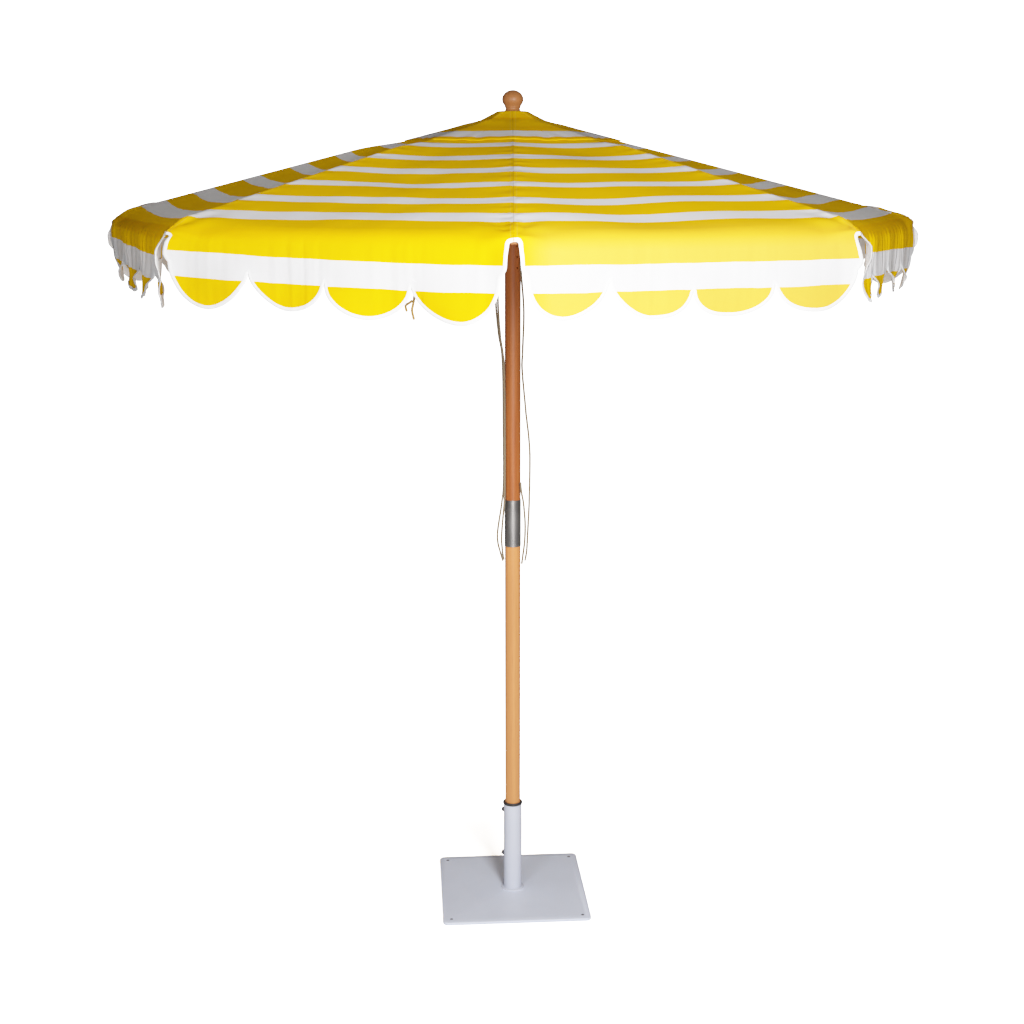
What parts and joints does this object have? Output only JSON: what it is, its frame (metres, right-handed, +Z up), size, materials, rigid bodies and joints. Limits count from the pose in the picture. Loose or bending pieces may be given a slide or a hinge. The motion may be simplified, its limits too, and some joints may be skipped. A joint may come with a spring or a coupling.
{
  "type": "beach umbrella",
  "caption": "Eight-panel beach umbrella with scalloped valance and vent cap, on a two-piece wooden mast in a square steel stand; the canopy folds on a sliding runner.",
  "frame": {"origin": "on the floor, on the axis of the mast, under the middle of the base", "axes": "+Z up along the mast; -Y towards the first rib, +X to the right of it"},
  "size_m": [2.5516, 2.5516, 2.7165],
  "materials": {
    "canopy_cloth": "woven canvas with white stripes",
    "stained_wood": "stained and varnished, satin",
    "light_wood": "varnished, satin",
    "painted_steel": "fine-textured powder coat",
    "black_plastic": "moulded, matt",
    "brushed_steel": "brushed round the sleeve",
    "zinc_steel": "zinc plated",
    "cord": "twisted cord"
  },
  "bodies": {
    "stand": {"base_plate": "painted_steel", "base_flange": "painted_steel", "base_tube": "painted_steel", "foot_pad_1": "black_plastic", "foot_pad_2": "black_plastic", "foot_pad_3": "black_plastic", "foot_pad_4": "black_plastic"},
    "bushing": {"base_bushing": "black_plastic"},
    "lower_pole": {"pole_lower": "light_wood", "pole_foot_cap": "black_plastic", "pole_joiner": "brushed_steel", "joiner_screw_upper": "zinc_steel", "joiner_screw_lower": "zinc_steel"},
    "upper_pole": {"pole_upper": "stained_wood", "top_hub": "stained_wood", "hub_wire": "zinc_steel", "finial": "light_wood", "vent_cap": "canopy_cloth"},
    "pulley": {"sheave": "zinc_steel"},
    "runner": {"runner": "stained_wood", "rope_left": "cord", "rope_right": "cord"},
    "lock_pin": {"lock_pin": "zinc_steel"},
    "rib_1": {"rib_1": "stained_wood"},
    "strut_1": {"strut_1": "stained_wood"},
    "canopy_panel_1": {"canopy_panel_1": "canopy_cloth"},
    "valance_1": {"valance_1": "canopy_cloth"},
    "rib_2": {"rib_2": "stained_wood"},
    "strut_2": {"strut_2": "stained_wood"},
    "canopy_panel_2": {"canopy_panel_2": "canopy_cloth"},
    "valance_2": {"valance_2": "canopy_cloth"},
    "rib_3": {"rib_3": "stained_wood"},
    "strut_3": {"strut_3": "stained_wood"},
    "canopy_panel_3": {"canopy_panel_3": "canopy_cloth"},
    "valance_3": {"valance_3": "canopy_cloth"},
    "rib_4": {"rib_4": "stained_wood"},
    "strut_4": {"strut_4": "stained_wood"},
    "canopy_panel_4": {"canopy_panel_4": "canopy_cloth"},
    "valance_4": {"valance_4": "canopy_cloth"},
    "rib_5": {"rib_5": "stained_wood"},
    "strut_5": {"strut_5": "stained_wood"},
    "canopy_panel_5": {"canopy_panel_5": "canopy_cloth"},
    "valance_5": {"valance_5": "canopy_cloth"},
    "rib_6": {"rib_6": "stained_wood"},
    "strut_6": {"strut_6": "stained_wood"},
    "canopy_panel_6": {"canopy_panel_6": "canopy_cloth"},
    "valance_6": {"valance_6": "canopy_cloth"},
    "rib_7": {"rib_7": "stained_wood"},
    "strut_7": {"strut_7": "stained_wood"},
    "canopy_panel_7": {"canopy_panel_7": "canopy_cloth"},
    "valance_7": {"valance_7": "canopy_cloth"},
    "rib_8": {"rib_8": "stained_wood"},
    "strut_8": {"strut_8": "stained_wood"},
    "canopy_panel_8": {"canopy_panel_8": "canopy_cloth"},
    "valance_8": {"valance_8": "canopy_cloth"},
    "clamp_stud_1": {"clamp_stud_1": "zinc_steel"},
    "clamp_knob_1": {"clamp_knob_1": "black_plastic"},
    "clamp_stud_2": {"clamp_stud_2": "zinc_steel"},
    "clamp_knob_2": {"clamp_knob_2": "black_plastic"}
  },
  "joints": [
    {"name": "mast_swivel", "type": "hinge", "parent": "stand", "child": "bushing", "pos_m": [0, 0, 0.3], "axis": [0, 0, 1], "continuous": true},
    {"name": "mast_lift", "type": "slide", "parent": "bushing", "child": "lower_pole", "axis": [0, 0, 1], "range_m": [0, 0.3]},
    {"name": "pole_section_lift", "type": "slide", "parent": "lower_pole", "child": "upper_pole", "axis": [0, 0, 1], "range_m": [0, 0.075]},
    {"name": "runner_slide", "type": "slide", "parent": "upper_pole", "child": "runner", "axis": [0, 0, -1], "range_m": [0, 0.8009], "deforming": ["canopy_panel_1", "canopy_panel_2", "canopy_panel_3", "canopy_panel_4", "canopy_panel_5", "canopy_panel_6", "canopy_panel_7", "canopy_panel_8", "valance_1", "valance_2", "valance_3", "valance_4", "valance_5", "valance_6", "valance_7", "valance_8", "vent_cap", "rope_left", "rope_right"]},
    {"name": "lock_pin_slide", "type": "slide", "parent": "runner", "child": "lock_pin", "axis": [0.9239, -0.3827, 0], "range_m": [0, 0.012]},
    {"name": "sheave_spin", "type": "hinge", "parent": "upper_pole", "child": "pulley", "pos_m": [0, 0, 2.545], "axis": [0, 1, 0], "range_deg": [0, 1720]},
    {"name": "rib_hinge_1", "type": "hinge", "parent": "upper_pole", "child": "rib_1", "pos_m": [0, -0.046, 2.6205], "axis": [1, 0, 0], "range_deg": [0, 73.5]},
    {"name": "strut_hinge_1", "type": "hinge", "parent": "rib_1", "child": "strut_1", "pos_m": [0, -0.5828, 2.46097], "axis": [1, 0, 0], "range_deg": [-147, 0]},
    {"name": "panel_fold_1", "type": "hinge", "parent": "upper_pole", "child": "canopy_panel_1", "pos_m": [-0.00515, 0.01243, 2.5764], "axis": [0.9239, 0.3827, 0], "range_deg": [0, 72.6]},
    {"name": "valance_fold_1", "type": "hinge", "parent": "canopy_panel_1", "child": "valance_1", "pos_m": [0.45113, -1.08913, 2.321], "axis": [0.9239, 0.3827, 0], "range_deg": [-72.6, 0]},
    {"name": "rib_hinge_2", "type": "hinge", "parent": "upper_pole", "child": "rib_2", "pos_m": [0.03253, -0.03253, 2.6205], "axis": [0.7071, 0.7071, 0], "range_deg": [0, 73.5]},
    {"name": "strut_hinge_2", "type": "hinge", "parent": "rib_2", "child": "strut_2", "pos_m": [0.4121, -0.4121, 2.46097], "axis": [0.7071, 0.7071, 0], "range_deg": [-147, 0]},
    {"name": "panel_fold_2", "type": "hinge", "parent": "upper_pole", "child": "canopy_panel_2", "pos_m": [-0.01243, 0.00515, 2.5764], "axis": [0.3827, 0.9239, 0], "range_deg": [0, 72.6]},
    {"name": "valance_fold_2", "type": "hinge", "parent": "canopy_panel_2", "child": "valance_2", "pos_m": [1.08913, -0.45113, 2.321], "axis": [0.3827, 0.9239, 0], "range_deg": [-72.6, 0]},
    {"name": "rib_hinge_3", "type": "hinge", "parent": "upper_pole", "child": "rib_3", "pos_m": [0.046, 0, 2.6205], "axis": [0, 1, 0], "range_deg": [0, 73.5]},
    {"name": "strut_hinge_3", "type": "hinge", "parent": "rib_3", "child": "strut_3", "pos_m": [0.5828, 0, 2.46097], "axis": [0, 1, 0], "range_deg": [-147, 0]},
    {"name": "panel_fold_3", "type": "hinge", "parent": "upper_pole", "child": "canopy_panel_3", "pos_m": [-0.01243, -0.00515, 2.5764], "axis": [-0.3827, 0.9239, 0], "range_deg": [0, 72.6]},
    {"name": "valance_fold_3", "type": "hinge", "parent": "canopy_panel_3", "child": "valance_3", "pos_m": [1.08913, 0.45113, 2.321], "axis": [-0.3827, 0.9239, 0], "range_deg": [-72.6, 0]},
    {"name": "rib_hinge_4", "type": "hinge", "parent": "upper_pole", "child": "rib_4", "pos_m": [0.03253, 0.03253, 2.6205], "axis": [-0.7071, 0.7071, 0], "range_deg": [0, 73.5]},
    {"name": "strut_hinge_4", "type": "hinge", "parent": "rib_4", "child": "strut_4", "pos_m": [0.4121, 0.4121, 2.46097], "axis": [-0.7071, 0.7071, 0], "range_deg": [-147, 0]},
    {"name": "panel_fold_4", "type": "hinge", "parent": "upper_pole", "child": "canopy_panel_4", "pos_m": [-0.00515, -0.01243, 2.5764], "axis": [-0.9239, 0.3827, 0], "range_deg": [0, 72.6]},
    {"name": "valance_fold_4", "type": "hinge", "parent": "canopy_panel_4", "child": "valance_4", "pos_m": [0.45113, 1.08913, 2.321], "axis": [-0.9239, 0.3827, 0], "range_deg": [-72.6, 0]},
    {"name": "rib_hinge_5", "type": "hinge", "parent": "upper_pole", "child": "rib_5", "pos_m": [0, 0.046, 2.6205], "axis": [-1, 0, 0], "range_deg": [0, 73.5]},
    {"name": "strut_hinge_5", "type": "hinge", "parent": "rib_5", "child": "strut_5", "pos_m": [0, 0.5828, 2.46097], "axis": [-1, 0, 0], "range_deg": [-147, 0]},
    {"name": "panel_fold_5", "type": "hinge", "parent": "upper_pole", "child": "canopy_panel_5", "pos_m": [0.00515, -0.01243, 2.5764], "axis": [-0.9239, -0.3827, 0], "range_deg": [0, 72.6]},
    {"name": "valance_fold_5", "type": "hinge", "parent": "canopy_panel_5", "child": "valance_5", "pos_m": [-0.45113, 1.08913, 2.321], "axis": [-0.9239, -0.3827, 0], "range_deg": [-72.6, 0]},
    {"name": "rib_hinge_6", "type": "hinge", "parent": "upper_pole", "child": "rib_6", "pos_m": [-0.03253, 0.03253, 2.6205], "axis": [-0.7071, -0.7071, 0], "range_deg": [0, 73.5]},
    {"name": "strut_hinge_6", "type": "hinge", "parent": "rib_6", "child": "strut_6", "pos_m": [-0.4121, 0.4121, 2.46097], "axis": [-0.7071, -0.7071, 0], "range_deg": [-147, 0]},
    {"name": "panel_fold_6", "type": "hinge", "parent": "upper_pole", "child": "canopy_panel_6", "pos_m": [0.01243, -0.00515, 2.5764], "axis": [-0.3827, -0.9239, 0], "range_deg": [0, 72.6]},
    {"name": "valance_fold_6", "type": "hinge", "parent": "canopy_panel_6", "child": "valance_6", "pos_m": [-1.08913, 0.45113, 2.321], "axis": [-0.3827, -0.9239, 0], "range_deg": [-72.6, 0]},
    {"name": "rib_hinge_7", "type": "hinge", "parent": "upper_pole", "child": "rib_7", "pos_m": [-0.046, 0, 2.6205], "axis": [0, -1, 0], "range_deg": [0, 73.5]},
    {"name": "strut_hinge_7", "type": "hinge", "parent": "rib_7", "child": "strut_7", "pos_m": [-0.5828, 0, 2.46097], "axis": [0, -1, 0], "range_deg": [-147, 0]},
    {"name": "panel_fold_7", "type": "hinge", "parent": "upper_pole", "child": "canopy_panel_7", "pos_m": [0.01243, 0.00515, 2.5764], "axis": [0.3827, -0.9239, 0], "range_deg": [0, 72.6]},
    {"name": "valance_fold_7", "type": "hinge", "parent": "canopy_panel_7", "child": "valance_7", "pos_m": [-1.08913, -0.45113, 2.321], "axis": [0.3827, -0.9239, 0], "range_deg": [-72.6, 0]},
    {"name": "rib_hinge_8", "type": "hinge", "parent": "upper_pole", "child": "rib_8", "pos_m": [-0.03253, -0.03253, 2.6205], "axis": [0.7071, -0.7071, 0], "range_deg": [0, 73.5]},
    {"name": "strut_hinge_8", "type": "hinge", "parent": "rib_8", "child": "strut_8", "pos_m": [-0.4121, -0.4121, 2.46097], "axis": [0.7071, -0.7071, 0], "range_deg": [-147, 0]},
    {"name": "panel_fold_8", "type": "hinge", "parent": "upper_pole", "child": "canopy_panel_8", "pos_m": [0.00515, 0.01243, 2.5764], "axis": [0.9239, -0.3827, 0], "range_deg": [0, 72.6]},
    {"name": "valance_fold_8", "type": "hinge", "parent": "canopy_panel_8", "child": "valance_8", "pos_m": [-0.45113, -1.08913, 2.321], "axis": [0.9239, -0.3827, 0], "range_deg": [-72.6, 0]},
    {"name": "clamp_stud_travel_1", "type": "slide", "parent": "stand", "child": "clamp_stud_1", "axis": [-0.6428, 0.766, 0], "range_m": [0, 0.00375]},
    {"name": "clamp_knob_turn_1", "type": "hinge", "parent": "clamp_stud_1", "child": "clamp_knob_1", "pos_m": [-0.02931, 0.03493, 0.289], "axis": [-0.6428, 0.766, 0], "range_deg": [0, 1085]},
    {"name": "clamp_stud_travel_2", "type": "slide", "parent": "stand", "child": "clamp_stud_2", "axis": [-0.6428, 0.766, 0], "range_m": [0, 0.00375]},
    {"name": "clamp_knob_turn_2", "type": "hinge", "parent": "clamp_stud_2", "child": "clamp_knob_2", "pos_m": [-0.02931, 0.03493, 0.126], "axis": [-0.6428, 0.766, 0], "range_deg": [0, 1085]}
  ],
  "couplings": [
    {"joint": "sheave_spin", "follows": "runner_slide", "rad_per_m": 37.453},
    {"joint": "rib_hinge_1", "follows": "runner_slide", "rad_per_m": 1.6005},
    {"joint": "strut_hinge_1", "follows": "runner_slide", "rad_per_m": -3.201},
    {"joint": "panel_fold_1", "follows": "runner_slide", "rad_per_m": 1.5798},
    {"joint": "valance_fold_1", "follows": "runner_slide", "rad_per_m": -1.5798},
    {"joint": "rib_hinge_2", "follows": "runner_slide", "rad_per_m": 1.6005},
    {"joint": "strut_hinge_2", "follows": "runner_slide", "rad_per_m": -3.201},
    {"joint": "panel_fold_2", "follows": "runner_slide", "rad_per_m": 1.5798},
    {"joint": "valance_fold_2", "follows": "runner_slide", "rad_per_m": -1.5798},
    {"joint": "rib_hinge_3", "follows": "runner_slide", "rad_per_m": 1.6005},
    {"joint": "strut_hinge_3", "follows": "runner_slide", "rad_per_m": -3.201},
    {"joint": "panel_fold_3", "follows": "runner_slide", "rad_per_m": 1.5798},
    {"joint": "valance_fold_3", "follows": "runner_slide", "rad_per_m": -1.5798},
    {"joint": "rib_hinge_4", "follows": "runner_slide", "rad_per_m": 1.6005},
    {"joint": "strut_hinge_4", "follows": "runner_slide", "rad_per_m": -3.201},
    {"joint": "panel_fold_4", "follows": "runner_slide", "rad_per_m": 1.5798},
    {"joint": "valance_fold_4", "follows": "runner_slide", "rad_per_m": -1.5798},
    {"joint": "rib_hinge_5", "follows": "runner_slide", "rad_per_m": 1.6005},
    {"joint": "strut_hinge_5", "follows": "runner_slide", "rad_per_m": -3.201},
    {"joint": "panel_fold_5", "follows": "runner_slide", "rad_per_m": 1.5798},
    {"joint": "valance_fold_5", "follows": "runner_slide", "rad_per_m": -1.5798},
    {"joint": "rib_hinge_6", "follows": "runner_slide", "rad_per_m": 1.6005},
    {"joint": "strut_hinge_6", "follows": "runner_slide", "rad_per_m": -3.201},
    {"joint": "panel_fold_6", "follows": "runner_slide", "rad_per_m": 1.5798},
    {"joint": "valance_fold_6", "follows": "runner_slide", "rad_per_m": -1.5798},
    {"joint": "rib_hinge_7", "follows": "runner_slide", "rad_per_m": 1.6005},
    {"joint": "strut_hinge_7", "follows": "runner_slide", "rad_per_m": -3.201},
    {"joint": "panel_fold_7", "follows": "runner_slide", "rad_per_m": 1.5798},
    {"joint": "valance_fold_7", "follows": "runner_slide", "rad_per_m": -1.5798},
    {"joint": "rib_hinge_8", "follows": "runner_slide", "rad_per_m": 1.6005},
    {"joint": "strut_hinge_8", "follows": "runner_slide", "rad_per_m": -3.201},
    {"joint": "panel_fold_8", "follows": "runner_slide", "rad_per_m": 1.5798},
    {"joint": "valance_fold_8", "follows": "runner_slide", "rad_per_m": -1.5798},
    {"joint": "clamp_knob_turn_1", "follows": "clamp_stud_travel_1", "rad_per_m": 5026.5},
    {"joint": "clamp_knob_turn_2", "follows": "clamp_stud_travel_2", "rad_per_m": 5026.5}
  ]
}
